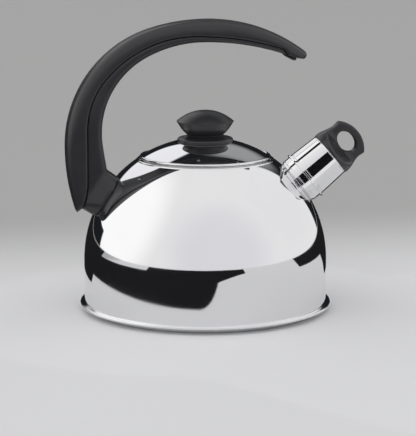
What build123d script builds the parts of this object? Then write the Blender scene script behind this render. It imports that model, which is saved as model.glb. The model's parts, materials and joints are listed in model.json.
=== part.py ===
"""Stovetop whistling kettle: domed steel body, lift-off lid, fixed C-shaped handle, pull-off whistle cap.

Millimetres, +Z up. The origin is the centre of the underside, on the body's axis.
The handle is rooted on the -X shoulder, the spout is on the +X shoulder, and XZ is the plane of symmetry.
"""

import os
from math import cos, radians, sin, sqrt

from build123d import *

# ---------------------------------------------------------------- driving dimensions
SHEET = 0.8  # body steel
THIN_SHEET = 0.6  # lid and whistle steel

# body: a hemispherical dome over a short straight skirt, on a seamed base
DOME_R = 101.2
DOME_CENTRE_Z = 42.0
SKIRT_BEND = 1.2
SEAM_R = 105.0
SEAM_BOTTOM = 4.2
SEAM_TOP = 6.8
SEAM_OVERLAP = 2.4
CAPSULE_R = 97.0
CAPSULE_CORNER = 1.4

# mouth ring: a rolled bead outside, a seat for the lid inside
MOUTH_BEAD_R = 1.4
MOUTH_R = 57.3
MOUTH_Z = 125.3
SEAT_R = 54.5
SEAT_Z = 121.0
SEAT_LEDGE_R = 50.5

# lid
LID_R = 54.5
LID_BEAD_R = 1.3
LID_RIM_Z = 128.3
LID_TOP_Z = 143.4
SKIRT_R = 53.6

# knob
KNOB_BASE_R = 23.2
KNOB_BASE_Z = 142.0
KNOB_BASE_HALF = 2.3
NECK_R = 15.1
NECK_Z = 146.0
CAP_R = 23.7
CAP_EDGE_Z = 157.4
CAP_TOP_Z = 166.6
SPIGOT_R = 7.0
SPIGOT_Z = LID_TOP_Z + 0.6
KNOB_SCREW_R = 2.0
KNOB_INSERT_R = 3.6
KNOB_INSERT_LENGTH = 12.0
KNOB_WASHER_R = 7.0

# spout and whistle: stations run along the spout's axis from the lower edge of the whistle's head
SPOUT_TILT = 39.4
SPOUT_ORIGIN = Vector(105.7, 0, 126.8)
TUBE_ROOT = -41.0
TUBE_END = -12.0
NECK_TUBE_R = 19.3
TUBE_R = 17.3
TUBE_LIP_R = 17.6
SLEEVE_RIM = -34.4
SLEEVE_RIM_R = 20.2
BEAD_STATION = -27.0
BEAD_HALF = 0.7
BEAD_R = 21.9
SLEEVE_SHOULDER_R = 20.5
SLEEVE_TOP_R = 19.3
HEAD_R = 19.6
HEAD_BULGE = (6.5, 19.4)
HEAD_WAIST = (17.0, 16.8)
HEAD_CORNER = (23.3, 17.5)
HEAD_END = (28.7, 9.8)
HEAD_LENGTH = 30.8
LOOP_HALF = 4.5
FINGER_HOLE = (17.7, 6.9, 9.8)  # station of its centre, half its length, half its width
SPIGOT_END = -9.6
CHAMBER_R = 17.2
PLATE_BACK = -4.6
SOUND_HOLE_R = 2.2
CHAMBER_DEPTH = 3.2
STEAM_BORE_R = 9.0
STEAM_BORE_END = 5.0
STEAM_HOLE_R = 1.4
STEAM_HOLE_PITCH = 5.5
SPRING_STATION = -31.5
SPRING_LENGTH = 5.0
SPRING_R = 19.45
SPRING_THICKNESS = 0.45
SPRING_SIDES = 10

# handle: outlines are runs of tangent arcs (radius, turn in degrees), from the crown towards each end
SHELL_HALF = 14.5
INSERT_HALF = 12.6
BACK_CROWN = (1.5, 242.2)
BACK_REAR = ((160, 17), (101, 72), (171, 19.2))
BACK_NOSE = ((135, -37.0),)
BACK_RISE = 1.8  # how far the back bulges across its width
BACK_ROUND = 7.0
OVERRUN = 6.0  # extra turn that carries a band past its ends
PARTING_CROWN = (-10.5, 229.0)
PARTING_REAR = ((96, 50.6), (64, 39.4))
PARTING_STRAIGHT_END_Z = 112.0
PARTING_KICK = (60, -21.5)
PARTING_NOSE = ((251, -17.3),)
GRIP_CROWN = (-2.1, 223.3)
GRIP_REAR = ((101.1, 28), (69.7, 70), (570, 1.9))
GRIP_NOSE = ((214.1, -18.4),)
GRIP_RISE = 0.8
GRIP_ROUND = 4.0
BAND_DEPTH = 26.0
NOSE_PLAN_ROUND = 9.0
HEEL_ROUND = 9.0
TAB = ((76.2, 209.4), (73.4, 207.0), (67.5, 209.9), (66.9, 212.2))  # end of the insert, under the nose
NOSE_END = (84.3, 211.6)
NOSE_UNDER = (82.0, 208.9)
FOOT_TILT = 33.3  # elevation of the foot's axis, seen from the dome's centre
FOOT_HALF = 19.0
PAD_ANGLE = 7.4
PAD_THICKNESS = 1.5
BRACKET_THICKNESS = 3.0
BRACKET_HALF = 9.0
BRACKET_REACH = 114.0
FOOT_SCREW_R = 2.5
FOOT_SCREW_REACH = 108.5
FOOT_SCREW_DEPTH = 16.6
FOOT_HEAD_R = 4.2
FOOT_HEAD_HEIGHT = 2.8
HANDLE_SCREW_R = 2.0
CROSS_DEPTH = 1.3
COUNTERBORE = 5.0
# each shell screw: centre of its head (x, z), the way it points, its length
HANDLE_SCREWS = (
    ((-88.0, 150.0), (-1.0, 0.0), 20.0),
    ((-12.0, 224.4), (0.0, 1.0), 12.0),
    ((60.3, 215.0), (0.29, 0.957), 8.5),
)

PROFILE = Plane.XZ
SPOUT_DIR = Vector(cos(radians(SPOUT_TILT)), 0, sin(radians(SPOUT_TILT)))
SPOUT_AXIS = Axis(SPOUT_ORIGIN, SPOUT_DIR)
SPOUT_PLANE = Plane(SPOUT_ORIGIN, x_dir=SPOUT_DIR, z_dir=(0, -1, 0))  # x along the axis, y across it
FOOT_DIR = Vector(-cos(radians(FOOT_TILT)), 0, sin(radians(FOOT_TILT)))
FOOT_ORIGIN = Vector(0, 0, DOME_CENTRE_Z)
FOOT_PLANE = Plane(FOOT_ORIGIN, x_dir=FOOT_DIR, z_dir=(0, 1, 0))  # x outward, y up the dome
FOOT_SCREW_PLANE = Plane(FOOT_ORIGIN + FOOT_DIR * FOOT_SCREW_REACH, x_dir=FOOT_DIR, z_dir=FOOT_PLANE.y_dir)
LID_RISE = LID_TOP_Z - LID_RIM_Z
LID_BEAD_CENTRE_R = LID_R - LID_BEAD_R
LID_SPHERE_R = (LID_BEAD_CENTRE_R**2 + LID_RISE**2) / (2 * LID_RISE)
LID_CENTRE_Z = LID_TOP_Z - LID_SPHERE_R


def sphere_arc(centre_z, sphere_r, r_from, r_to):
    """Arc of a sphere's profile between two distances from the vertical axis."""
    radii = (r_from, (r_from + r_to) / 2, r_to)
    return ThreePointArc(*[(r, centre_z + sqrt(sphere_r**2 - r**2)) for r in radii])


def tangent_arcs(start, heading, bends):
    """Tangent arcs one after another; each bend is (radius, turn). Gives the end point and heading."""
    for radius, turn in bends:
        arc = JernArc(start, heading, radius, turn)
        start, heading = arc @ 1, arc % 1
    return start, heading


def across_spout(station):
    """Plane square to the spout's axis at a station."""
    return Plane(SPOUT_ORIGIN + SPOUT_DIR * station, x_dir=(0, 1, 0), z_dir=SPOUT_DIR)


def across_foot(distance):
    """Plane square to the foot's axis at a distance from the dome's centre."""
    return Plane(FOOT_ORIGIN + FOOT_DIR * distance, x_dir=(0, 1, 0), z_dir=FOOT_DIR)


# ---------------------------------------------------------------- mouth, spout tube and body shell
with BuildPart() as mouth_ring:
    with BuildSketch(PROFILE):
        with BuildLine():
            Polyline(
                (SEAT_R, MOUTH_Z),
                (SEAT_R, SEAT_Z),
                (SEAT_LEDGE_R, SEAT_Z),
                (SEAT_LEDGE_R, SEAT_Z - THIN_SHEET),
                (SEAT_R + THIN_SHEET, SEAT_Z - THIN_SHEET),
                (SEAT_R + THIN_SHEET, MOUTH_Z),
                close=True,
            )
        make_face()
        with Locations((MOUTH_R - MOUTH_BEAD_R, MOUTH_Z)):
            Circle(MOUTH_BEAD_R)
    revolve(axis=Axis.Z)

with BuildPart() as spout_tube:
    with BuildSketch(SPOUT_PLANE):
        with BuildLine():
            Polyline(
                (TUBE_ROOT, NECK_TUBE_R),
                (SLEEVE_RIM + 0.8, NECK_TUBE_R),
                (SLEEVE_RIM + 3.4, TUBE_R),
                (TUBE_END - 1.2, TUBE_R),
                (TUBE_END - 0.9, TUBE_LIP_R),
                (TUBE_END - 0.3, TUBE_LIP_R),
                (TUBE_END, TUBE_R),
                (TUBE_END, TUBE_R - SHEET),
                (SLEEVE_RIM + 3.2, TUBE_R - SHEET),
                (SLEEVE_RIM + 0.6, NECK_TUBE_R - SHEET),
                (TUBE_ROOT, NECK_TUBE_R - SHEET),
                close=True,
            )
        make_face()
    revolve(axis=SPOUT_AXIS)

with BuildPart() as body_shell:
    lip_r = MOUTH_R - MOUTH_BEAD_R / 2
    with BuildSketch(PROFILE):
        with BuildLine():
            outside = sphere_arc(DOME_CENTRE_Z, DOME_R, lip_r, DOME_R)
            FilletPolyline(
                (DOME_R, DOME_CENTRE_Z),
                (DOME_R, SEAM_BOTTOM + 2 * SHEET),
                (SEAM_R - 1.0, SEAM_BOTTOM + 2 * SHEET),
                radius=SKIRT_BEND,
            )
            Polyline(
                (SEAM_R - 1.0, SEAM_BOTTOM + 2 * SHEET),
                (SEAM_R - 1.0, SEAM_BOTTOM + SHEET),
                (DOME_R - SHEET, SEAM_BOTTOM + SHEET),
                (DOME_R - SHEET, DOME_CENTRE_Z),
            )
            inside = sphere_arc(DOME_CENTRE_Z, DOME_R - SHEET, lip_r, DOME_R - SHEET)
            Line(outside @ 0, inside @ 0)
        make_face()
    revolve(axis=Axis.Z)
    with BuildSketch(across_spout(TUBE_ROOT - 10)):
        Circle(NECK_TUBE_R)
    extrude(amount=30, mode=Mode.SUBTRACT)
    add(mouth_ring.part, mode=Mode.SUBTRACT)

# ---------------------------------------------------------------- base: seamed pan and heat capsule
with BuildPart() as base_pan:
    flange_r = SEAM_R - 1.0
    with BuildSketch(PROFILE):
        with BuildLine():
            Polyline(
                (0, SEAM_BOTTOM),
                (SEAM_R - 0.8, SEAM_BOTTOM),
                (SEAM_R, SEAM_BOTTOM + 0.8),
                (SEAM_R, SEAM_TOP - 0.7),
                (SEAM_R - 0.7, SEAM_TOP),
                (SEAM_R - SEAM_OVERLAP + 0.4, SEAM_TOP),
                (SEAM_R - SEAM_OVERLAP, SEAM_TOP - 0.4),
                (SEAM_R - SEAM_OVERLAP, SEAM_BOTTOM + 2 * SHEET),
                (flange_r, SEAM_BOTTOM + 2 * SHEET),
                (flange_r, SEAM_BOTTOM + SHEET),
                (0, SEAM_BOTTOM + SHEET),
                close=True,
            )
        make_face()
    revolve(axis=Axis.Z)
    add(body_shell.part, mode=Mode.SUBTRACT)

with BuildPart() as heat_core:
    with BuildSketch(Plane.XY.offset(SHEET)):
        Circle(CAPSULE_R - SHEET)
    extrude(amount=SEAM_BOTTOM - SHEET)

with BuildPart() as base_cover:
    with BuildSketch(Plane.XY):
        Circle(CAPSULE_R)
    extrude(amount=SEAM_BOTTOM)
    fillet(base_cover.edges().sort_by(Axis.Z)[0], CAPSULE_CORNER)
    with BuildSketch(Plane.XY.offset(SHEET)):
        Circle(CAPSULE_R - SHEET)
    extrude(amount=SEAM_BOTTOM, mode=Mode.SUBTRACT)

# ---------------------------------------------------------------- lid
with BuildPart() as lid_dome:
    screw_hole_r = KNOB_SCREW_R + 0.2
    with BuildSketch(PROFILE):
        with BuildLine():
            top = sphere_arc(LID_CENTRE_Z, LID_SPHERE_R, screw_hole_r, LID_BEAD_CENTRE_R)
            under = sphere_arc(LID_CENTRE_Z, LID_SPHERE_R - THIN_SHEET, screw_hole_r, LID_BEAD_CENTRE_R)
            Line(top @ 0, under @ 0)
            Line(top @ 1, under @ 1)
        make_face()
        with Locations((LID_BEAD_CENTRE_R, LID_RIM_Z)):
            Circle(LID_BEAD_R)
    revolve(axis=Axis.Z)

with BuildPart() as lid_skirt:
    with BuildSketch(Plane.XY.offset(SEAT_Z)):
        Circle(SKIRT_R)
        Circle(SKIRT_R - THIN_SHEET, mode=Mode.SUBTRACT)
    extrude(amount=LID_RIM_Z - SEAT_Z)
    add(lid_dome.part, mode=Mode.SUBTRACT)

# ---------------------------------------------------------------- knob
with BuildPart() as knob_base:
    with BuildSketch(PROFILE):
        with BuildLine():
            low = (KNOB_BASE_R - 2.0, KNOB_BASE_Z - KNOB_BASE_HALF)
            high = (KNOB_BASE_R - 2.4, KNOB_BASE_Z + KNOB_BASE_HALF)
            ThreePointArc(low, (KNOB_BASE_R, KNOB_BASE_Z), high)
            Polyline(
                high,
                (NECK_R + 0.2, NECK_Z),
                (SPIGOT_R, NECK_Z),
                (SPIGOT_R, LID_TOP_Z - 1.5),
                low,
            )
        make_face()
    revolve(axis=Axis.Z)
    with BuildSketch(PROFILE):
        with BuildLine():
            crown = sphere_arc(LID_CENTRE_Z, LID_SPHERE_R, 0, KNOB_BASE_R + 2)
            Polyline(crown @ 1, (KNOB_BASE_R + 2, LID_RIM_Z), (0, LID_RIM_Z), crown @ 0)
        make_face()
    revolve(axis=Axis.Z, mode=Mode.SUBTRACT)

with BuildPart() as knob_cap:
    with BuildSketch(PROFILE):
        with BuildLine():
            ThreePointArc((0, CAP_TOP_Z), (CAP_R * 0.52, CAP_TOP_Z - 2.45), (CAP_R - 0.3, CAP_EDGE_Z + 0.35))
            ThreePointArc((CAP_R - 0.3, CAP_EDGE_Z + 0.35), (CAP_R, CAP_EDGE_Z), (CAP_R - 0.1, CAP_EDGE_Z - 0.5))
            ThreePointArc((CAP_R - 0.1, CAP_EDGE_Z - 0.5), (20.6, NECK_Z + 5.9), (NECK_R, NECK_Z + 0.8))
            Polyline((NECK_R, NECK_Z + 0.8), (NECK_R, NECK_Z), (SPIGOT_R, NECK_Z), (SPIGOT_R, SPIGOT_Z))
            Polyline((SPIGOT_R, SPIGOT_Z), (0, SPIGOT_Z), (0, CAP_TOP_Z))
        make_face()
    revolve(axis=Axis.Z)
    with BuildSketch(Plane.XY.offset(SPIGOT_Z)):
        Circle(KNOB_INSERT_R)
    extrude(amount=KNOB_INSERT_LENGTH, mode=Mode.SUBTRACT)

with BuildPart() as knob_insert:
    with BuildSketch(Plane.XY.offset(SPIGOT_Z)):
        Circle(KNOB_INSERT_R)
        Circle(KNOB_SCREW_R, mode=Mode.SUBTRACT)
    extrude(amount=KNOB_INSERT_LENGTH)

with BuildPart() as knob_washer:
    with BuildSketch(Plane.XY.offset(LID_TOP_Z - THIN_SHEET - 1.2)):
        Circle(KNOB_WASHER_R)
        Circle(KNOB_SCREW_R + 0.2, mode=Mode.SUBTRACT)
    extrude(amount=1.2)
    add(lid_dome.part, mode=Mode.SUBTRACT)

with BuildPart() as knob_screw:
    head_top = LID_TOP_Z - THIN_SHEET - 1.2
    with BuildSketch(Plane.XY.offset(head_top)):
        Circle(2 * KNOB_SCREW_R)
    extrude(amount=-2.6)
    fillet(knob_screw.edges().sort_by(Axis.Z)[0], 1.0)
    with BuildSketch(Plane.XY.offset(head_top)):
        Circle(KNOB_SCREW_R)
    extrude(amount=SPIGOT_Z + KNOB_INSERT_LENGTH - 2 - head_top)
    with BuildSketch(Plane.XY.offset(head_top - 2.6)):
        Rectangle(4.4, 1.0)
        Rectangle(1.0, 4.4)
    extrude(amount=1.4, mode=Mode.SUBTRACT)

# ---------------------------------------------------------------- whistle
with BuildPart() as whistle_sleeve:
    bead_low = BEAD_STATION - BEAD_HALF
    bead_high = BEAD_STATION + BEAD_HALF
    with BuildSketch(SPOUT_PLANE):
        with BuildLine():
            Polyline(
                (SLEEVE_RIM, SLEEVE_RIM_R - THIN_SHEET),
                (SLEEVE_RIM, SLEEVE_RIM_R),
                (bead_low, SLEEVE_RIM_R - 0.1),
                (bead_low + 0.1, BEAD_R - 0.15),
                (bead_low + 0.3, BEAD_R),
                (bead_high - 0.3, BEAD_R),
                (bead_high - 0.1, BEAD_R - 0.15),
                (bead_high, SLEEVE_SHOULDER_R),
                (0, SLEEVE_TOP_R),
                (0, SLEEVE_TOP_R - THIN_SHEET),
                (bead_high, SLEEVE_SHOULDER_R - THIN_SHEET),
                (bead_low, SLEEVE_RIM_R - 0.1 - THIN_SHEET),
                close=True,
            )
        make_face()
    revolve(axis=SPOUT_AXIS)

with BuildPart() as whistle_head:
    with BuildSketch(SPOUT_PLANE):
        with BuildLine():
            Spline(
                (0, HEAD_R),
                HEAD_BULGE,
                HEAD_WAIST,
                (HEAD_CORNER[0] - 3.2, HEAD_WAIST[1] + 0.1),
                HEAD_CORNER,
            )
            ThreePointArc(HEAD_CORNER, HEAD_END, (HEAD_LENGTH, 0))
            Polyline((HEAD_LENGTH, 0), (0, 0), (0, HEAD_R))
        make_face()
    revolve(axis=SPOUT_AXIS)
    with BuildSketch(Plane(SPOUT_ORIGIN, x_dir=SPOUT_DIR, z_dir=SPOUT_DIR.cross(Vector(0, 1, 0)))):
        with BuildLine():
            Polyline((2.5, 25), (2.5, HEAD_BULGE[1]), (10.5, LOOP_HALF + 1.0), (13.5, LOOP_HALF))
            Polyline((13.5, LOOP_HALF), (35, LOOP_HALF), (35, 25), (2.5, 25))
        make_face()
        mirror(about=Plane.XZ)
    extrude(amount=25, both=True, mode=Mode.SUBTRACT)
    with BuildSketch(SPOUT_PLANE):
        with Locations((FINGER_HOLE[0], 0)):
            Ellipse(FINGER_HOLE[1], FINGER_HOLE[2])
    extrude(amount=25, both=True, mode=Mode.SUBTRACT)
    with BuildSketch(across_spout(SPIGOT_END)):
        Circle(SLEEVE_TOP_R - THIN_SHEET)
        Circle(CHAMBER_R, mode=Mode.SUBTRACT)
    extrude(amount=-SPIGOT_END)
    with BuildSketch(across_spout(PLATE_BACK)):
        Circle(CHAMBER_R)
        Circle(STEAM_BORE_R, mode=Mode.SUBTRACT)
    extrude(amount=-PLATE_BACK)
    with BuildSketch(across_spout(-0.1)):
        Circle(STEAM_BORE_R)
    extrude(amount=STEAM_BORE_END, mode=Mode.SUBTRACT)
    with BuildSketch(SPOUT_PLANE):
        with GridLocations(0, STEAM_HOLE_PITCH, 1, 3):
            with Locations((STEAM_BORE_END - 1.6, 0)):
                Circle(STEAM_HOLE_R)
    extrude(amount=-25, mode=Mode.SUBTRACT)

with BuildPart() as whistle_outer_plate:
    with BuildSketch(across_spout(PLATE_BACK - THIN_SHEET)):
        Circle(CHAMBER_R)
        Circle(SOUND_HOLE_R, mode=Mode.SUBTRACT)
    extrude(amount=THIN_SHEET)

with BuildPart() as whistle_spacer:
    with BuildSketch(across_spout(PLATE_BACK - THIN_SHEET - CHAMBER_DEPTH)):
        Circle(CHAMBER_R)
        Circle(CHAMBER_R - 4, mode=Mode.SUBTRACT)
    extrude(amount=CHAMBER_DEPTH)

with BuildPart() as whistle_inner_plate:
    with BuildSketch(across_spout(PLATE_BACK - 2 * THIN_SHEET - CHAMBER_DEPTH)):
        Circle(CHAMBER_R)
        Circle(SOUND_HOLE_R, mode=Mode.SUBTRACT)
    extrude(amount=THIN_SHEET)

with BuildPart() as whistle_retaining_ring:
    with BuildSketch(across_spout(SPIGOT_END)):
        Circle(CHAMBER_R)
        Circle(CHAMBER_R - 2.9, mode=Mode.SUBTRACT)
    extrude(amount=PLATE_BACK - 2 * THIN_SHEET - CHAMBER_DEPTH - SPIGOT_END)

# a many-sided spring band with one split: its corners press on the sleeve, its flats on the tube
with BuildPart() as whistle_spring:
    with BuildSketch(across_spout(SPRING_STATION)):
        RegularPolygon(SPRING_R, SPRING_SIDES)
        RegularPolygon(SPRING_R - SPRING_THICKNESS, SPRING_SIDES, mode=Mode.SUBTRACT)
        with Locations((SPRING_R, 0)):
            Rectangle(4, 2.0, mode=Mode.SUBTRACT)
    extrude(amount=SPRING_LENGTH)

# ---------------------------------------------------------------- handle
def handle_band(crown, rear, nose, half, depth, rise, corner):
    """A band along a handle outline: one face follows the outline and is rounded, depth is signed downward."""
    with BuildPart() as band:
        for heading, bends in ((-1, rear), (1, nose)):
            *first, (radius, turn) = bends
            with BuildLine(PROFILE) as path:
                tangent_arcs(crown, (heading, 0), (*first, (radius, turn - heading * OVERRUN)))
            start = Plane((crown[0], 0, crown[1]), x_dir=(0, -heading, 0), z_dir=(heading, 0, 0))
            with BuildSketch(start) as section:
                with BuildLine():
                    edge = rise if depth > 0 else -rise
                    ThreePointArc((-half, edge), (0, 0), (half, edge))
                    Polyline((half, edge), (half, depth), (-half, depth), (-half, edge))
                make_face()
                fillet(section.vertices().group_by(lambda v: abs(v.Z - crown[1]))[0], corner)
            sweep(path=path.line)
    return band.part


def parting_line():
    """The outline between the handle's shell and its insert. Gives its lower and its nose end."""
    shoulder, down = tangent_arcs(PARTING_CROWN, (-1, 0), PARTING_REAR)
    straight_end = Vector(shoulder.X, PARTING_STRAIGHT_END_Z)
    Line(shoulder, straight_end)
    low_end, _ = tangent_arcs(straight_end, (0, -1), (PARTING_KICK,))
    nose_end, _ = tangent_arcs(PARTING_CROWN, (1, 0), PARTING_NOSE)
    return low_end, nose_end


back_band = handle_band(BACK_CROWN, BACK_REAR, BACK_NOSE, SHELL_HALF, BAND_DEPTH, BACK_RISE, BACK_ROUND)
grip_band = handle_band(GRIP_CROWN, GRIP_REAR, GRIP_NOSE, INSERT_HALF, -BAND_DEPTH, GRIP_RISE, GRIP_ROUND)

with BuildPart() as handle_shell:
    with BuildSketch(PROFILE):
        with BuildLine():
            heel, _ = tangent_arcs(BACK_CROWN, (-1, 0), BACK_REAR)
            nose, nose_heading = tangent_arcs(BACK_CROWN, (1, 0), BACK_NOSE)
            low_end, nose_end = parting_line()
            Line(heel, low_end)
            Polyline(nose_end, TAB[3], TAB[0])
            Spline(nose, NOSE_END, NOSE_UNDER, TAB[0], tangents=(nose_heading, (-1, 0.1)))
        make_face()
    extrude(amount=SHELL_HALF, both=True)
    add(back_band, mode=Mode.INTERSECT)
    with BuildSketch(Plane.XY) as plan:
        with Locations(((NOSE_END[0] + heel.X) / 2 - 5, 0)):
            Rectangle(NOSE_END[0] - heel.X + 10, 2 * SHELL_HALF)
        fillet(plan.vertices().group_by(Axis.X)[-1], NOSE_PLAN_ROUND)
    extrude(amount=BACK_CROWN[1], mode=Mode.INTERSECT)
    with BuildSketch(Plane.YZ.offset(-150)) as rear_view:
        with Locations((0, (heel.Y + BACK_CROWN[1]) / 2)):
            Rectangle(2 * SHELL_HALF, BACK_CROWN[1] - heel.Y)
        fillet(rear_view.vertices().group_by(Axis.Z)[0], HEEL_ROUND)
    extrude(amount=300, mode=Mode.INTERSECT)

with BuildPart() as handle_bracket:
    with BuildSketch(FOOT_PLANE):
        with BuildLine():
            on_dome = CenterArc((0, 0), DOME_R, 0, PAD_ANGLE)
            pad_top = CenterArc((0, 0), DOME_R + PAD_THICKNESS, 0, PAD_ANGLE)
            Line(on_dome @ 0, pad_top @ 0)
            Line(on_dome @ 1, pad_top @ 1)
        make_face()
    revolve(axis=Axis(FOOT_ORIGIN, FOOT_DIR))
    with BuildSketch(FOOT_PLANE):
        with Locations(((DOME_R + PAD_THICKNESS / 2 + BRACKET_REACH) / 2, 0)):
            Rectangle(BRACKET_REACH - DOME_R - PAD_THICKNESS / 2, BRACKET_THICKNESS)
    extrude(amount=BRACKET_HALF, both=True)
    with BuildSketch(FOOT_SCREW_PLANE):
        Circle(FOOT_SCREW_R)
    extrude(amount=BRACKET_THICKNESS, both=True, mode=Mode.SUBTRACT)

with BuildPart() as foot_screw:
    with BuildSketch(FOOT_SCREW_PLANE.offset(-FOOT_SCREW_DEPTH)):
        Circle(FOOT_HEAD_R)
    extrude(amount=FOOT_HEAD_HEIGHT)
    with BuildSketch(FOOT_SCREW_PLANE.offset(-FOOT_SCREW_DEPTH + FOOT_HEAD_HEIGHT)):
        Circle(FOOT_SCREW_R)
    extrude(amount=FOOT_SCREW_DEPTH - FOOT_HEAD_HEIGHT + BRACKET_THICKNESS)
    with BuildSketch(FOOT_SCREW_PLANE.offset(-FOOT_SCREW_DEPTH)):
        RegularPolygon(2.2, 6)
    extrude(amount=FOOT_HEAD_HEIGHT / 2, mode=Mode.SUBTRACT)

with BuildPart() as handle_screws:
    for (head_x, head_z), (way_x, way_z), length in HANDLE_SCREWS:
        with BuildSketch(Plane((head_x, 0, head_z), x_dir=(way_x, 0, way_z), z_dir=(0, -1, 0))):
            Polygon(
                (0, 0),
                (0, 2 * HANDLE_SCREW_R - 0.2),
                (HANDLE_SCREW_R, HANDLE_SCREW_R),
                (length - 1.2, HANDLE_SCREW_R),
                (length, 0),
                align=None,
            )
        revolve(axis=Axis((head_x, 0, head_z), (way_x, 0, way_z)))
        with BuildSketch(Plane((head_x, 0, head_z), x_dir=(0, 1, 0), z_dir=(way_x, 0, way_z))):
            Rectangle(4.0, 0.9)
            Rectangle(0.9, 4.0)
        extrude(amount=CROSS_DEPTH, mode=Mode.SUBTRACT)

with BuildPart() as handle_insert:
    with BuildSketch(PROFILE):
        with BuildLine():
            low_end, nose_end = parting_line()
            grip_foot, _ = tangent_arcs(GRIP_CROWN, (-1, 0), GRIP_REAR)
            grip_nose, _ = tangent_arcs(GRIP_CROWN, (1, 0), GRIP_NOSE)
            Polyline(low_end, (-99.5, 86.4), (-95.5, 83.5), (-80.0, 84.0), (-66.0, 108.0), grip_foot)
            Line(grip_nose, nose_end)
        make_face()
    extrude(amount=INSERT_HALF, both=True)
    add(grip_band, mode=Mode.INTERSECT)
    with BuildSketch(PROFILE):
        Polygon(nose_end, TAB[3], *TAB[:3], grip_nose, align=None)
    extrude(amount=INSERT_HALF - 1.5, both=True)
    with BuildSketch(PROFILE):
        Polygon(low_end, (-99.5, 86.4), (-95.5, 83.5), (-80.0, 84.0), (-91.0, 112.0), align=None)
    extrude(amount=INSERT_HALF, both=True)
    with BuildSketch(across_foot(DOME_R - 6)):
        RectangleRounded(2 * FOOT_HALF, 2 * FOOT_HALF - 1, FOOT_HALF - 2)
    with BuildSketch(across_foot(DOME_R + 13)):
        RectangleRounded(2 * INSERT_HALF, 2 * FOOT_HALF, 6)
    loft()
    with BuildSketch(PROFILE):
        with BuildLine():
            CenterArc((0, DOME_CENTRE_Z), DOME_R, -90, 180)
            Line((0, DOME_CENTRE_Z - DOME_R), (0, DOME_CENTRE_Z + DOME_R))
        make_face()
    revolve(axis=Axis.Z, mode=Mode.SUBTRACT)
    add(handle_shell.part, mode=Mode.SUBTRACT)
    with BuildSketch(FOOT_SCREW_PLANE.offset(-FOOT_SCREW_DEPTH - 6)):
        Circle(FOOT_HEAD_R + 0.5)
    extrude(amount=6 + FOOT_HEAD_HEIGHT, mode=Mode.SUBTRACT)
    for fixing in (handle_bracket, foot_screw, handle_screws):
        add(fixing.part, mode=Mode.SUBTRACT)
    for (head_x, head_z), (way_x, way_z), _ in HANDLE_SCREWS:
        with BuildSketch(Plane((head_x, 0, head_z), x_dir=(0, 1, 0), z_dir=(way_x, 0, way_z))):
            Circle(2 * HANDLE_SCREW_R)
        extrude(amount=-COUNTERBORE, mode=Mode.SUBTRACT)
        with BuildSketch(Plane((head_x, 0, head_z), x_dir=(0, 1, 0), z_dir=(way_x, 0, way_z))):
            Circle(HANDLE_SCREW_R + 0.5)
        extrude(amount=CROSS_DEPTH, mode=Mode.SUBTRACT)

# the shell is drilled for its screws last, because the insert is cut to the whole shell
with BuildPart() as drilled_shell:
    add(handle_shell.part)
    add(handle_screws.part, mode=Mode.SUBTRACT)

# ---------------------------------------------------------------- files
pieces = {
    "body_shell": body_shell,
    "mouth_ring": mouth_ring,
    "spout_tube": spout_tube,
    "base_pan": base_pan,
    "heat_core": heat_core,
    "base_cover": base_cover,
    "lid_dome": lid_dome,
    "lid_skirt": lid_skirt,
    "knob_base": knob_base,
    "knob_cap": knob_cap,
    "knob_insert": knob_insert,
    "knob_washer": knob_washer,
    "knob_screw": knob_screw,
    "whistle_sleeve": whistle_sleeve,
    "whistle_head": whistle_head,
    "whistle_outer_plate": whistle_outer_plate,
    "whistle_spacer": whistle_spacer,
    "whistle_inner_plate": whistle_inner_plate,
    "whistle_retaining_ring": whistle_retaining_ring,
    "whistle_spring": whistle_spring,
    "handle_shell": drilled_shell,
    "handle_insert": handle_insert,
    "handle_bracket": handle_bracket,
    "foot_screw": foot_screw,
    "handle_screws": handle_screws,
}
os.makedirs("parts", exist_ok=True)
for name, piece in pieces.items():
    piece.part.label = name
    export_step(piece.part, f"parts/{name}.step")
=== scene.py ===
"""Looks of the stovetop whistling kettle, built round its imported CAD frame.

Blender works in metres, +Z up. Profiles and stations are in millimetres, and MM turns them into metres.
"""

import json
from math import acos, cos, pi, radians, sin, sqrt

import bmesh
import bpy
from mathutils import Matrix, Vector


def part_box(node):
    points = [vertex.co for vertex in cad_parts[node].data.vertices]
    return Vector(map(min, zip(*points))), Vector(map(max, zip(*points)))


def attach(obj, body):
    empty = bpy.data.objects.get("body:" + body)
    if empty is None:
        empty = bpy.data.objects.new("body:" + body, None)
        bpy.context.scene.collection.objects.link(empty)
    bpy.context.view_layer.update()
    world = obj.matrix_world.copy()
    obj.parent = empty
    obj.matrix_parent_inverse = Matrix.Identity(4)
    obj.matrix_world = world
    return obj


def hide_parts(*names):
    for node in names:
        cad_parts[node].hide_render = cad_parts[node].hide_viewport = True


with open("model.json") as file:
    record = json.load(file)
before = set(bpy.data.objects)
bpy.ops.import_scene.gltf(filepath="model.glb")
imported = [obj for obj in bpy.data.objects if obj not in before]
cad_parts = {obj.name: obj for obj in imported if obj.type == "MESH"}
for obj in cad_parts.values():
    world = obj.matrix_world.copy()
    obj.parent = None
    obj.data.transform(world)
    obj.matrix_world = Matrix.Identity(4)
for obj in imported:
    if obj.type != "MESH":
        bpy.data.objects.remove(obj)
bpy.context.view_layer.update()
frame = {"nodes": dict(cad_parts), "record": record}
MM = 0.001


# ---------------------------------------------------------------- node helpers
def new_material(name):
    """A material with its node tree and its principled shader."""
    material = bpy.data.materials.new(name)
    material.use_nodes = True
    tree = material.node_tree
    return material, tree, tree.nodes["Principled BSDF"]


def node(tree, kind, inputs=(), **settings):
    """A node; inputs are (socket, value or socket to link)."""
    made = tree.nodes.new(kind)
    for name, value in settings.items():
        setattr(made, name, value)
    for socket, value in inputs:
        if isinstance(value, bpy.types.NodeSocket):
            tree.links.new(value, made.inputs[socket])
        else:
            made.inputs[socket].default_value = value
    return made


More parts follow.
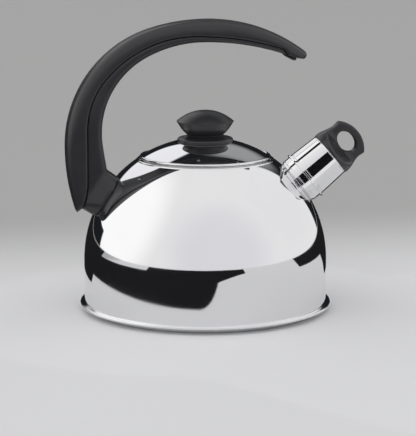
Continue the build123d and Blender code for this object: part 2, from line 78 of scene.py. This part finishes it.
def math_node(tree, operation, a, b=0.0, clamp=False):
    return node(tree, "ShaderNodeMath", ((0, a), (1, b)), operation=operation, use_clamp=clamp).outputs[0]


def ramp(tree, value, low, high, to_low=0.0, to_high=1.0):
    """Smooth step of a value from low..high to to_low..to_high."""
    made = node(
        tree,
        "ShaderNodeMapRange",
        (("Value", value), ("From Min", low), ("From Max", high), ("To Min", to_low), ("To Max", to_high)),
        interpolation_type="SMOOTHSTEP",
    )
    return made.outputs["Result"]


def mix_colour(tree, factor, a, b):
    made = node(tree, "ShaderNodeMix", data_type="RGBA")
    for socket, value in ((0, factor), (6, a), (7, b)):
        if isinstance(value, bpy.types.NodeSocket):
            tree.links.new(value, made.inputs[socket])
        else:
            made.inputs[socket].default_value = value
    return made.outputs[2]


def object_point(tree, scale=(1, 1, 1), rotation=(0, 0, 0)):
    """Object coordinates, turned and stretched."""
    place = node(tree, "ShaderNodeTexCoord").outputs["Object"]
    mapped = node(tree, "ShaderNodeMapping", (("Vector", place), ("Rotation", rotation), ("Scale", scale)))
    return mapped.outputs[0]


def noise(tree, point, scale, detail=3.0, rough=0.5):
    made = node(
        tree,
        "ShaderNodeTexNoise",
        (("Vector", point), ("Scale", scale), ("Detail", detail), ("Roughness", rough)),
    )
    return made.outputs["Fac"]


def bump(tree, height, distance, strength):
    made = node(tree, "ShaderNodeBump", (("Height", height), ("Distance", distance), ("Strength", strength)))
    return made.outputs[0]


# ---------------------------------------------------------------- sizes, in millimetres
DOME_R, DOME_CENTRE_Z = 101.2, 42.0
SHEET, THIN_SHEET = 0.8, 0.6
SPOUT_TILT = 39.4
SPOUT_ORIGIN = (105.7, 0, 126.8)  # end of the sleeve: stations along the spout count from here
SPOUT_WAY = (cos(radians(SPOUT_TILT)), 0, sin(radians(SPOUT_TILT)))
SPOUT_AXIS = (SPOUT_ORIGIN, SPOUT_WAY)
NECK_R = 19.3
KNOB_NECK_R = 15.1
CENTRE_R = 0.01  # innermost radius of a turned disc, so that it closes without a pole

BODIES = frame["record"]["behaviour"]["bodies"]
BODY_OF = {name: body for body, names in BODIES.items() for name in names}


def high(node_name):
    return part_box(node_name)[1].z / MM


def low(node_name):
    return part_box(node_name)[0].z / MM


def across(node_name):
    """Outer radius of a turned piece, on the kettle's axis."""
    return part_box(node_name)[1].y / MM


# ---------------------------------------------------------------- mesh helpers
def arc(centre, radius, start, end, steps):
    """Points of an arc in a profile; angles in degrees, 0 away from the axis and 90 up along it."""
    points = []
    for step in range(steps + 1):
        angle = radians(start + (end - start) * step / steps)
        points.append((centre[0] + radius * cos(angle), centre[1] + radius * sin(angle)))
    return points


def smooth_profile(points, rounding):
    """Rounds the sharp corners of a closed profile of (radius, height), and gives each point its normal."""
    smooth_turn, about_face, corner_steps = radians(14), 3, 4
    corners = [Vector(point) for point in points]
    edges = []
    for index, corner in enumerate(corners):
        step = corners[(index + 1) % len(corners)] - corner
        edges.append((step.length, step.normalized()))
    made = []
    for index, corner in enumerate(corners):
        (before, way_in), (after, way_out) = edges[index - 1], edges[index]
        turn = acos(max(-1.0, min(1.0, way_in.dot(way_out))))
        normal_in, normal_out = Vector((way_in.y, -way_in.x)), Vector((way_out.y, -way_out.x))
        if turn < smooth_turn:
            made.append((corner, (normal_in + normal_out).normalized()))
            continue
        cut = min(rounding, 0.4 * before, 0.4 * after)
        near, far = corner - way_in * cut, corner + way_out * cut
        for step in range(corner_steps + 1):
            blend = step / corner_steps
            middle = near.lerp(corner, blend).lerp(corner.lerp(far, blend), blend)
            made.append((middle, normal_in.slerp(normal_out, blend) if turn < about_face else normal_in))
    return made


def punch_hole(shape, axis, radius):
    """Opens a round hole: the vertices within reach of its edge move onto it, and the faces inside go."""
    base, way = Vector(axis[0]) * MM, Vector(axis[1]).normalized()
    edge, reach, depth = radius * MM, 1.3 * MM, 60 * MM
    inside = set()
    for vertex in shape.verts:
        along = (vertex.co - base).dot(way)
        foot = base + way * along
        away = vertex.co - foot
        if along > -depth and away.length < edge + reach:
            if away.length > edge - reach:
                vertex.co = foot + away.normalized() * edge
            inside.add(vertex)
    doomed = [face for face in shape.faces if all(vertex in inside for vertex in face.verts)]
    bmesh.ops.delete(shape, geom=doomed, context="FACES")


def lathe(name, points, rounding, axis=((0, 0, 0), (0, 0, 1)), segments=192, punch=None):
    """Turns a closed profile of (radius, height) about an axis, with exact normals.

    The profile runs anticlockwise seen with the radius to the right and the height up.
    punch is ((point, direction), radius) of a round hole to open.
    """
    base, way = Vector(axis[0]) * MM, Vector(axis[1]).normalized()
    side = way.orthogonal().normalized() if abs(way.z) < 0.99 else Vector((1, 0, 0))
    other = way.cross(side)
    profile = smooth_profile(points, rounding)
    shape, normals, rings = bmesh.new(), [], []
    order = shape.verts.layers.int.new("order")
    for (radius, height), (out, up) in profile:
        ring = []
        for step in range(segments):
            angle = 2 * pi * step / segments
            radial = side * cos(angle) + other * sin(angle)
            vertex = shape.verts.new(base + radial * radius * MM + way * height * MM)
            vertex[order] = len(normals)
            ring.append(vertex)
            normals.append(radial * out + way * up)
        rings.append(ring)
    for index, ring in enumerate(rings):
        following = rings[(index + 1) % len(rings)]
        for step in range(segments):
            after = (step + 1) % segments
            shape.faces.new((ring[step], ring[after], following[after], following[step]))
    if punch:
        punch_hole(shape, *punch)
    mesh = bpy.data.meshes.new(name)
    for face in shape.faces:
        face.smooth = True
    kept = [normals[vertex[order]] for vertex in shape.verts]
    shape.to_mesh(mesh)
    shape.free()
    mesh.normals_split_custom_set_from_vertices(kept)
    return link(name, mesh)


def link(name, mesh):
    made = bpy.data.objects.new(name, mesh)
    bpy.context.scene.collection.objects.link(made)
    return made


def finish_piece(piece, node_name, material):
    """Puts a piece in a CAD node's stead: same body, with the material given."""
    piece.data.materials.clear()
    piece.data.materials.append(material)
    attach(piece, BODY_OF[node_name])
    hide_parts(node_name)


def soften(node_name, voxel, passes):
    """A moulded copy of a CAD node: remeshed finely, then smoothed so that every edge is rounded."""
    source = frame["nodes"][node_name]
    piece = link(node_name + "_moulded", source.data.copy())
    remesh = piece.modifiers.new("remesh", "REMESH")
    remesh.mode, remesh.voxel_size = "VOXEL", voxel
    remesh.use_smooth_shade = True
    relax = piece.modifiers.new("relax", "SMOOTH")
    relax.factor, relax.iterations = 0.5, passes
    graph = bpy.context.evaluated_depsgraph_get()
    mesh = bpy.data.meshes.new_from_object(piece.evaluated_get(graph))
    piece.modifiers.clear()
    piece.data = mesh
    return piece


# ---------------------------------------------------------------- materials
def polished_steel(name, rotation=(0, 0, 0)):
    """Mirror-polished steel: faint polishing lines round the axis, smudges and a slight warmth."""
    material, tree, shader = new_material(name)
    point = object_point(tree, rotation=rotation)
    lines = noise(tree, object_point(tree, scale=(1, 1, 60), rotation=rotation), 90, 2)
    smudge = noise(tree, point, 18, 4)
    shader.inputs["Metallic"].default_value = 1.0
    colour = mix_colour(tree, smudge, (0.80, 0.80, 0.81, 1), (0.86, 0.86, 0.87, 1))
    tree.links.new(colour, shader.inputs["Base Color"])
    rough = math_node(tree, "MULTIPLY", ramp(tree, smudge, 0.35, 0.75), 0.03)
    tree.links.new(math_node(tree, "ADD", rough, 0.03), shader.inputs["Roughness"])
    tree.links.new(bump(tree, lines, 0.00002, 0.05), shader.inputs["Normal"])
    return material


def brushed_steel(name, rotation=(0, 0, 0)):
    """Plain steel with turning lines square to the turned axis."""
    material, tree, shader = new_material(name)
    lines = noise(tree, object_point(tree, scale=(1, 1, 40), rotation=rotation), 60, 4)
    stain = noise(tree, object_point(tree), 25, 3)
    shader.inputs["Metallic"].default_value = 1.0
    colour = mix_colour(tree, stain, (0.55, 0.55, 0.56, 1), (0.66, 0.66, 0.66, 1))
    tree.links.new(colour, shader.inputs["Base Color"])
    tree.links.new(ramp(tree, lines, 0.3, 0.7, 0.18, 0.34), shader.inputs["Roughness"])
    tree.links.new(bump(tree, lines, 0.00005, 0.4), shader.inputs["Normal"])
    return material


def moulded_plastic(name):
    """Black moulded plastic: a fine spark-eroded grain, with a satin sheen that wears smoother in places."""
    material, tree, shader = new_material(name)
    point = object_point(tree)
    fine = noise(tree, point, 2600, 3, 0.6)
    cloud = noise(tree, point, 35, 3)
    colour = mix_colour(tree, cloud, (0.014, 0.014, 0.016, 1), (0.021, 0.021, 0.024, 1))
    tree.links.new(colour, shader.inputs["Base Color"])
    tree.links.new(ramp(tree, cloud, 0.3, 0.7, 0.32, 0.4), shader.inputs["Roughness"])
    shader.inputs["Specular IOR Level"].default_value = 0.6
    tree.links.new(bump(tree, fine, 0.00006, 0.5), shader.inputs["Normal"])
    return material


SPOUT_TURN = (0, radians(-49), 0)  # lays the texture's Z about along the spout
STEEL = polished_steel("polished_steel")
SPOUT_STEEL = polished_steel("polished_steel_spout", SPOUT_TURN)
PLAIN = brushed_steel("plain_steel")
SPOUT_PLAIN = brushed_steel("plain_steel_spout", SPOUT_TURN)
PLASTIC = moulded_plastic("black_plastic")
ALUMINIUM = brushed_steel("core_aluminium")
BRASS = brushed_steel("brass")
HEAD_PLASTIC = moulded_plastic("black_plastic_head")
SEAM = brushed_steel("brazed_seam")

NODE_MATERIAL = {
    "body_shell": STEEL,
    "mouth_ring": STEEL,
    "base_pan": STEEL,
    "lid_dome": STEEL,
    "whistle_sleeve": SPOUT_STEEL,
    "spout_tube": SPOUT_PLAIN,
    "heat_core": ALUMINIUM,
    "knob_insert": BRASS,
}
SLOT_MATERIAL = {"black_plastic": PLASTIC}
for part in frame["record"]["subparts"]:
    name = part["node"]
    material = NODE_MATERIAL.get(name) or SLOT_MATERIAL.get(part["material_slot"])
    if material is None:
        material = SPOUT_PLAIN if name.startswith("whistle") else PLAIN
    for place in frame["nodes"][name].material_slots:
        place.material = material


# ---------------------------------------------------------------- turned pieces
def sphere_points(centre_z, radius, r_from, r_to, steps):
    """A stretch of a sphere's profile between two distances from the axis."""
    start, end = (acos(r / radius) for r in (r_from, r_to))
    angles = [start + (end - start) * step / steps for step in range(steps + 1)]
    return [(radius * cos(angle), centre_z + radius * sin(angle)) for angle in angles]


def make_body():
    """Dome over a short straight skirt, with a flange at the foot and a hole where the spout leaves."""
    lip_r = across("mouth_ring") - 0.7
    flange_r, flange_z, corner = across("body_shell"), low("body_shell") + SHEET, 1.2
    inner_r = DOME_R - SHEET
    bend = arc((DOME_R + corner, flange_z + corner), corner, 180, 270, 6)
    profile = [
        (inner_r, DOME_CENTRE_Z),
        (inner_r, flange_z - SHEET),
        (flange_r, flange_z - SHEET),
        (flange_r, flange_z),
    ]
    profile += bend[::-1]
    profile += sphere_points(DOME_CENTRE_Z, DOME_R, DOME_R, lip_r, 72)
    profile += sphere_points(DOME_CENTRE_Z, inner_r, lip_r, inner_r, 48)[:-1]
    hole = (SPOUT_AXIS, NECK_R - 0.3)
    shell = lathe("body_dome", profile, 0.2, segments=384, punch=hole)
    finish_piece(shell, "body_shell", STEEL)


def make_seam():
    """Brazed line where the neck of the spout enters the dome: a thin bead along their meeting curve."""
    bead_r, proud, steps, around = 0.45, 0.1, 160, 10
    base, way = Vector(SPOUT_ORIGIN), Vector(SPOUT_WAY)
    side = Vector((0, 1, 0))
    other = way.cross(side)
    centre = Vector((0, 0, DOME_CENTRE_Z))
    shape, rings = bmesh.new(), []
    for step in range(steps):
        angle = 2 * pi * step / steps
        out = side * cos(angle) + other * sin(angle)
        start = base + out * (NECK_R + proud) - centre
        along = -start.dot(way) + sqrt(start.dot(way) ** 2 - start.length_squared + (DOME_R + proud) ** 2)
        point = centre + start + way * along
        ring = []
        for turn in range(around):
            bend = 2 * pi * turn / around
            ring.append(shape.verts.new((point + (out * cos(bend) + way * sin(bend)) * bead_r) * MM))
        rings.append(ring)
    for step in range(steps):
        near, far = rings[step], rings[(step + 1) % steps]
        for turn in range(around):
            after = (turn + 1) % around
            shape.faces.new((near[turn], near[after], far[after], far[turn])).smooth = True
    bmesh.ops.recalc_face_normals(shape, faces=shape.faces)
    mesh = bpy.data.meshes.new("spout_seam")
    shape.to_mesh(mesh)
    shape.free()
    mesh.materials.append(SEAM)
    piece = link("spout_seam", mesh)
    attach(piece, "kettle")


def make_mouth():
    """Rolled bead round the mouth, with the stepped seat of the lid inside it."""
    bead_r, seat_r, ledge_r = 1.4, 54.5, 50.5
    bottom, outer = low("mouth_ring"), across("mouth_ring")
    bead_z = high("mouth_ring") - bead_r
    profile = [
        (seat_r, bottom + THIN_SHEET),
        (ledge_r, bottom + THIN_SHEET),
        (ledge_r, bottom),
        (seat_r + THIN_SHEET, bottom),
    ]
    profile += arc((outer - bead_r, bead_z), bead_r, -120, 150, 20)
    profile += [(seat_r, bead_z)]
    finish_piece(lathe("mouth_bead", profile, 0.25, segments=256), "mouth_ring", STEEL)


def make_base():
    """Bottom sheet folded up round the flange, and the shallow cup under it."""
    seam_r, seam_low, seam_high = across("base_pan"), low("base_pan"), high("base_pan")
    hem, fold = 2.4, 1.0  # how far the folded edge reaches in, and the sheet and gap outside the flange
    profile = [
        (CENTRE_R, seam_low),
        (seam_r - 0.6, seam_low),
        (seam_r, seam_low + 0.6),
        (seam_r, seam_high - 0.7),
        (seam_r - 0.7, seam_high),
        (seam_r - hem + 0.4, seam_high),
        (seam_r - hem, seam_high - 0.4),
        (seam_r - hem, seam_low + 2 * SHEET),
        (seam_r - fold, seam_low + 2 * SHEET),
        (seam_r - fold, seam_low + SHEET),
        (CENTRE_R, seam_low + SHEET),
    ]
    finish_piece(lathe("base_seam", profile, 0.5, segments=256), "base_pan", STEEL)
    edge, top, corner = across("base_cover"), high("base_cover"), 1.4
    profile = [(CENTRE_R, 0)] + arc((edge - corner, corner), corner, -90, 0, 8)
    profile += [(edge, top), (edge - SHEET, top), (edge - SHEET, SHEET), (CENTRE_R, SHEET)]
    finish_piece(lathe("base_capsule", profile, 0.3, segments=256), "base_cover", PLAIN)


def make_lid():
    """Shallow spherical lid with a rolled rim and a screw hole at its top."""
    bead_r, hole_r = 1.3, 2.2
    rim_z, rim_r, top_z = low("lid_dome") + bead_r, across("lid_dome"), high("lid_dome")
    bead_at, rise = rim_r - bead_r, top_z - rim_z
    sphere_r = (bead_at**2 + rise**2) / (2 * rise)
    centre_z = top_z - sphere_r
    profile = sphere_points(centre_z, sphere_r - THIN_SHEET, hole_r, bead_at - 0.9, 40)
    profile += arc((bead_at, rim_z), bead_r, -160, 105, 22)
    profile += sphere_points(centre_z, sphere_r, bead_at - 0.4, hole_r, 40)
    finish_piece(lathe("lid_crown", profile, 0.2, segments=256), "lid_dome", STEEL)


def make_knob_disc():
    """Thick disc on the lid: its underside follows the lid's sphere, and it rises to the cap's neck."""
    edge, top = across("knob_base"), high("knob_base")
    bore_r, bore_z = 7.0, 142.2
    under_r, under_centre_z = 101.26, 42.14
    edge_r, edge_z = 1.84, 142.0
    profile = [(bore_r, bore_z)]
    profile += sphere_points(under_centre_z, under_r, bore_r, edge - 0.8, 10)
    profile += arc((edge - edge_r, edge_z), edge_r, -40, 75, 12)
    profile += [(edge - 4.4, 144.5), (KNOB_NECK_R + 1.2, 145.3), (KNOB_NECK_R + 0.2, top), (bore_r, top)]
    finish_piece(lathe("knob_disc", profile, 0.5), "knob_base", PLASTIC)


def make_knob_cap():
    """Mushroom cap: a hollow-flanked neck that flares out to a sharp edge, under a domed top."""
    cap_r, crown = across("knob_cap"), high("knob_cap")
    foot_z, neck_z, edge_r, edge_z = 146.0, 146.8, 0.55, 157.4
    flank_r, flank_rise, flank_power, flank_steps = 20.3, 5.2, 1.35, 8
    brim_rise, brim_steps = 4.7, 6
    dome_power, dome_steps = 2.25, 24
    profile = [(CENTRE_R, foot_z), (KNOB_NECK_R, foot_z)]
    for step in range(flank_steps + 1):
        share = step / flank_steps
        radius = KNOB_NECK_R + (flank_r - KNOB_NECK_R) * share
        profile.append((radius, neck_z + flank_rise * share**flank_power))
    for step in range(1, brim_steps + 1):
        share = step / brim_steps
        radius = flank_r + (cap_r - 0.5 - flank_r) * share
        profile.append((radius, neck_z + flank_rise + brim_rise * share))
    profile += arc((cap_r - edge_r, edge_z), edge_r, -35, 60, 6)
    for step in range(1, dome_steps):
        left = 1 - step / dome_steps
        profile.append(((cap_r - 0.4) * left, crown - (crown - edge_z - 0.5) * left**dome_power))
    profile.append((CENTRE_R, crown))
    finish_piece(lathe("knob_crown", profile, 0.4), "knob_cap", PLASTIC)


def make_sleeve():
    """Whistle sleeve: a tapered band, a standing flange, and a skirt with a rolled line near its rim."""
    rim, bead, bead_half = -34.4, -27.0, 0.7  # stations along the spout
    rim_r, bead_r, shoulder_r, top_r = 20.2, 21.9, 20.5, 19.3
    groove = 0.15
    profile = [
        (19.6, rim + 0.6),
        (19.6, rim),
        (rim_r - 0.05, rim),
        (rim_r, rim + 0.9),
        (rim_r - groove, rim + 1.2),
        (rim_r - groove, rim + 1.5),
        (rim_r, rim + 1.8),
        (rim_r - 0.05, bead - bead_half),
        (bead_r, bead - bead_half + 0.1),
        (bead_r, bead + bead_half - 0.1),
        (shoulder_r, bead + bead_half),
        (shoulder_r - 0.05, bead + 2.2),
        (shoulder_r - 0.2, bead + 2.4),
        (shoulder_r - 0.2, bead + 2.7),
        (shoulder_r - 0.1, bead + 2.9),
        (top_r + 0.02, -0.9),
        (top_r - 0.1, -0.7),
        (top_r - 0.1, -0.5),
        (top_r, -0.3),
        (top_r, 0),
        (top_r - THIN_SHEET, 0),
        (shoulder_r - THIN_SHEET, bead + bead_half),
        (19.5, bead - bead_half),
    ]
    sleeve = lathe("whistle_band", profile, 0.16, axis=SPOUT_AXIS, segments=256)
    finish_piece(sleeve, "whistle_sleeve", SPOUT_STEEL)


def make_tube():
    """Wide neck at the dome, then the narrower tube that the whistle slides on, with a beaded end."""
    root, neck_end, end, tube_r = -41.0, -33.6, -12.0, 17.3
    profile = [
        (NECK_R, root),
        (NECK_R, neck_end),
        (tube_r, neck_end + 2.6),
        (tube_r, end - 1.2),
        (tube_r + 0.3, end - 0.9),
        (tube_r + 0.3, end - 0.3),
        (tube_r, end),
        (tube_r - SHEET, end),
        (tube_r - SHEET, neck_end + 2.4),
        (NECK_R - SHEET, neck_end - 0.2),
        (NECK_R - SHEET, root),
    ]
    finish_piece(lathe("spout_neck", profile, 0.3, axis=SPOUT_AXIS), "spout_tube", SPOUT_STEEL)


# ---------------------------------------------------------------- moulded pieces
def make_moulded():
    for node_name, voxel, passes, material in (
        ("whistle_head", 0.6 * MM, 14, HEAD_PLASTIC),
        ("handle_shell", 1.1 * MM, 10, PLASTIC),
        ("handle_insert", 1.1 * MM, 8, PLASTIC),
    ):
        finish_piece(soften(node_name, voxel, passes), node_name, material)


make_body()
make_seam()
make_mouth()
make_base()
make_lid()
make_knob_disc()
make_knob_cap()
make_sleeve()
make_tube()
make_moulded()


# ---------------------------------------------------------------- stage, light and camera
def stage_object(name, vertices, faces, material):
    mesh = bpy.data.meshes.new(name)
    mesh.from_pydata(vertices, [], faces)
    mesh.materials.append(material)
    made = link(name, mesh)
    return made


def direction(azimuth, elevation):
    """Unit vector; azimuth 0 is towards the front (-Y), 90 towards +X."""
    a, e = radians(azimuth), radians(elevation)
    return Vector((sin(a) * cos(e), -cos(a) * cos(e), sin(e)))


def floor_material():
    """Pale floor with painted shade: its colour darkens to grey behind the object, standing in for the light
    falling off there.
    """
    material, tree, shader = new_material("floor")
    point = object_point(tree)
    y = node(tree, "ShaderNodeSeparateXYZ", ((0, point),)).outputs[1]
    weave = noise(tree, point, 900, 2)
    pale = mix_colour(tree, weave, (0.80, 0.80, 0.81, 1), (0.88, 0.88, 0.89, 1))
    # painted shade: from 8 to 45 cm behind the axis the floor's colour darkens from pale to grey, where the
    # light falls off
    colour = mix_colour(tree, ramp(tree, y, 0.08, 0.45), pale, (0.50, 0.50, 0.495, 1))
    tree.links.new(colour, shader.inputs["Base Color"])
    shader.inputs["Roughness"].default_value = 0.85
    return material


def flag_material():
    """Black felt of the flags that only reflections see: they paint dark reflections."""
    material, tree, shader = new_material("reflection_only_black_flag")
    felt = noise(tree, object_point(tree), 300, 3)
    colour = mix_colour(tree, felt, (0.010, 0.010, 0.011, 1), (0.022, 0.022, 0.024, 1))
    tree.links.new(colour, shader.inputs["Base Color"])
    shader.inputs["Roughness"].default_value = 1.0
    shader.inputs["Specular IOR Level"].default_value = 0.0
    return material


def studio_world():
    """A white tent round the front, sides and top, dark behind with a pale window and a soft grey glow.

    Camera rays see a plain backdrop instead, a little darker towards the right.
    """
    world = bpy.data.worlds.new("studio")
    bpy.context.scene.world = world
    world.use_nodes = True
    tree = world.node_tree
    background = tree.nodes["Background"]
    way = node(tree, "ShaderNodeTexCoord").outputs["Generated"]

    def towards(vector):
        product = node(tree, "ShaderNodeVectorMath", ((0, way), (1, vector)), operation="DOT_PRODUCT")
        return product.outputs["Value"]

    def spot(azimuth, elevation, outer, inner):
        """1 within the inner angle of a direction, 0 past the outer one."""
        return ramp(tree, towards(direction(azimuth, elevation)), cos(radians(outer)), cos(radians(inner)))

    blur = 0.02
    left_edge, right_edge = towards((0.777, 0.629, 0)), towards((-0.707, 0.707, 0))
    behind = ramp(tree, math_node(tree, "MINIMUM", left_edge, right_edge), -blur, blur)
    # Near the floor the dark reaches further round to the left.
    height = node(tree, "ShaderNodeSeparateXYZ", ((0, way),)).outputs[2]
    foot = math_node(tree, "MINIMUM", towards((0.629, 0.777, 0)), ramp(tree, height, 0.10, 0.16, 0.2, -0.2))
    foot = math_node(tree, "MINIMUM", foot, right_edge)
    behind = math_node(tree, "MAXIMUM", behind, ramp(tree, foot, -blur, blur))
    behind = math_node(tree, "SUBTRACT", behind, spot(-160, 82, 19, 17), clamp=True)
    tent = mix_colour(tree, spot(5, 12, 60, 20), (0.90, 0.90, 0.90, 1), (0.80, 0.80, 0.83, 1))
    tent = mix_colour(tree, spot(-108, 24, 52, 22), tent, (1.14, 1.14, 1.13, 1))
    back = mix_colour(tree, spot(157, 38, 22, 8), (0.012, 0.013, 0.015, 1), (0.34, 0.35, 0.35, 1))
    back = mix_colour(tree, spot(-163, 33, 20, 17), back, (0.95, 0.95, 0.97, 1))
    seen = mix_colour(tree, behind, tent, back)
    camera_ray = node(tree, "ShaderNodeLightPath").outputs["Is Camera Ray"]
    right = ramp(tree, towards((0.988, -0.156, 0)), -0.01, 0.1)
    backdrop = mix_colour(tree, right, (0.43, 0.43, 0.425, 1), (0.30, 0.30, 0.30, 1))
    tree.links.new(mix_colour(tree, camera_ray, seen, backdrop), background.inputs["Color"])
    background.inputs["Strength"].default_value = 1.0


def only_reflected(flag):
    """Lets a flag or card show in reflections only: it neither blocks light nor is seen."""
    flag.visible_camera = flag.visible_diffuse = flag.visible_shadow = False
    flag.visible_transmission = flag.visible_volume_scatter = False


def floor_flag(name, near, azimuths, far, material, taper=0.0):
    """A sector of black felt on the floor that paints a dark reflection, near and far in metres from the
    axis.

    taper pushes the near edge outwards over the sector's last part.
    """
    steps, taper_from = 32, 0.55
    lift = Vector((0, 0, 1 * MM))
    vertices = []
    for step in range(steps + 1):
        share = step / steps
        way = direction(azimuths[0] + (azimuths[1] - azimuths[0]) * share, 0)
        edge = near + taper * max(0.0, share - taper_from) ** 2
        vertices += [way * edge + lift, way * far + lift]
    faces = [(2 * i, 2 * i + 1, 2 * i + 3, 2 * i + 2) for i in range(steps)]
    only_reflected(stage_object(name, vertices, faces, material))


def spout_card(name, corners, material):
    """A card beside the spout; a corner is metres along the spout, across it, and out towards the front."""
    along, front = Vector(SPOUT_WAY), Vector((0, -1, 0))
    across_way = front.cross(along)
    middle_station = -18
    middle = (Vector(SPOUT_ORIGIN) + along * middle_station) * MM
    vertices = [middle + along * a + across_way * b + front * c for a, b, c in corners]
    only_reflected(stage_object(name, vertices, [(0, 1, 2, 3)], material))


def painted_reflection_card_material():
    """A card that glows white like the tent: a painted reflection, seen only in reflections."""
    material, tree, shader = new_material("glowing_reflection_card")
    paper = noise(tree, object_point(tree), 40, 2)
    shader.inputs["Base Color"].default_value = (0, 0, 0, 1)
    shader.inputs["Specular IOR Level"].default_value = 0.0
    # painted reflection: a near-white glow with a faint paper grain, seen only in reflections
    glow = mix_colour(tree, paper, (0.88, 0.88, 0.89, 1), (0.90, 0.90, 0.90, 1))
    tree.links.new(glow, shader.inputs["Emission Color"])
    shader.inputs["Emission Strength"].default_value = 1.0
    return material


def make_stage():
    half = 5.0
    corners = [(-half, -half, 0), (half, -half, 0), (half, half, 0), (-half, half, 0)]
    stage_object("stage_floor", corners, [(0, 1, 2, 3)], floor_material())
    felt = flag_material()
    # painted reflections: dark sectors of floor seen only in the kettle's reflections
    floor_flag("stage_flag_front", 0.235, (-62, 26), 4.0, felt, taper=2.2)
    floor_flag("stage_flag_left", 0.235, (-118, -62), 0.8, felt)
    # painted shade: in reflections this dark stands in for the shaded floor behind the kettle
    floor_flag("stage_flag_back", 0.2, (118, 242), 4.0, felt)
    floor_flag("stage_flag_right", 0.42, (80, 118), 4.0, felt)
    # Painted reflections on the sleeve: a black flag in front of it, with a glowing card under it and
    # another at its dome side.
    start, end, lower, upper, near, far = -0.021, 0.034, -0.018, 0.052, 0.045, 0.088
    flag = [(start, lower, far), (end, lower, far), (end, upper, far), (start, upper, far)]
    spout_card("stage_flag_spout", flag, felt)
    glowing_card, gap, shelf_start = painted_reflection_card_material(), 0.002, -0.07
    under, side = lower - gap, start - gap
    shelf = [(shelf_start, under, near), (end, under, near), (end, under, far), (shelf_start, under, far)]
    spout_card("stage_card_under", shelf, glowing_card)
    cheek = [(side, under, near), (side, under, far), (side, upper, far), (side, upper, near)]
    spout_card("stage_card_side", cheek, glowing_card)


def make_camera():
    """A long lens from the front, 9 degrees round to the left and 10.5 degrees above level."""
    azimuth, elevation, distance = -9.0, 10.52, 1.7845
    aim_right, aim_z = 2.35, 75.73
    data = bpy.data.cameras.new("camera")
    data.lens = 176.3
    data.sensor_width = 36.0
    camera = bpy.data.objects.new("camera", data)
    bpy.context.scene.collection.objects.link(camera)
    side = Vector((cos(radians(azimuth)), sin(radians(azimuth)), 0))
    target = side * aim_right * MM + Vector((0, 0, aim_z * MM))
    back = direction(azimuth, elevation)
    camera.location = target + back * distance
    camera.rotation_mode = "QUATERNION"
    camera.rotation_quaternion = (-back).to_track_quat("-Z", "Y")
    data.clip_start, data.clip_end = 0.05, 50.0
    bpy.context.scene.camera = camera


make_stage()
studio_world()
make_camera()
bpy.context.scene.view_settings.view_transform = "Standard"
